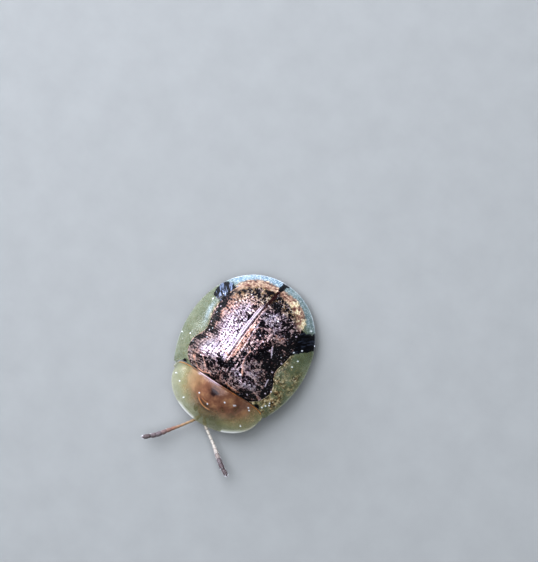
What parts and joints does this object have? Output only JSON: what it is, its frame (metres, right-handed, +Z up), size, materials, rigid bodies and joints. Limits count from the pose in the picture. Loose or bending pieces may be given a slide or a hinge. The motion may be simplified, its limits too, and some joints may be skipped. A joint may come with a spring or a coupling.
{
  "type": "tortoise beetle",
  "caption": "Life-size still model of a tortoise beetle: domed wing cases with a wide clear rim over the body, legs and feelers.",
  "frame": {"origin": "centre of the whole beetle's outline seen from above, feelers included, on the plane that its feet stand on", "axes": "+Z up from that plane, +Y towards the rear of the beetle, so that its head faces -Y, +X to its left"},
  "size_m": [0.0062, 0.0095, 0.0034],
  "materials": {
    "wing_case": "metallic coppery brown cuticle, marbled black, with a clear rim",
    "neck_shield": "clear amber cuticle",
    "underside": "dark brown cuticle",
    "head": "amber brown cuticle",
    "eye": "glossy black, faceted",
    "antenna": "tawny with greyer tips, finely haired",
    "leg": "amber brown cuticle"
  },
  "bodies": {
    "root": {"elytron_left": "wing_case", "elytron_right": "wing_case", "pronotum": "neck_shield", "scutellum": "wing_case", "thorax": "underside", "abdomen": "underside", "prothorax": "underside", "head": "head", "eye_left": "eye", "eye_right": "eye", "antenna_left": "antenna", "antenna_right": "antenna", "leg_front_left": "leg", "leg_front_right": "leg", "leg_middle_left": "leg", "leg_middle_right": "leg", "leg_hind_left": "leg", "leg_hind_right": "leg"}
  },
  "joints": []
}
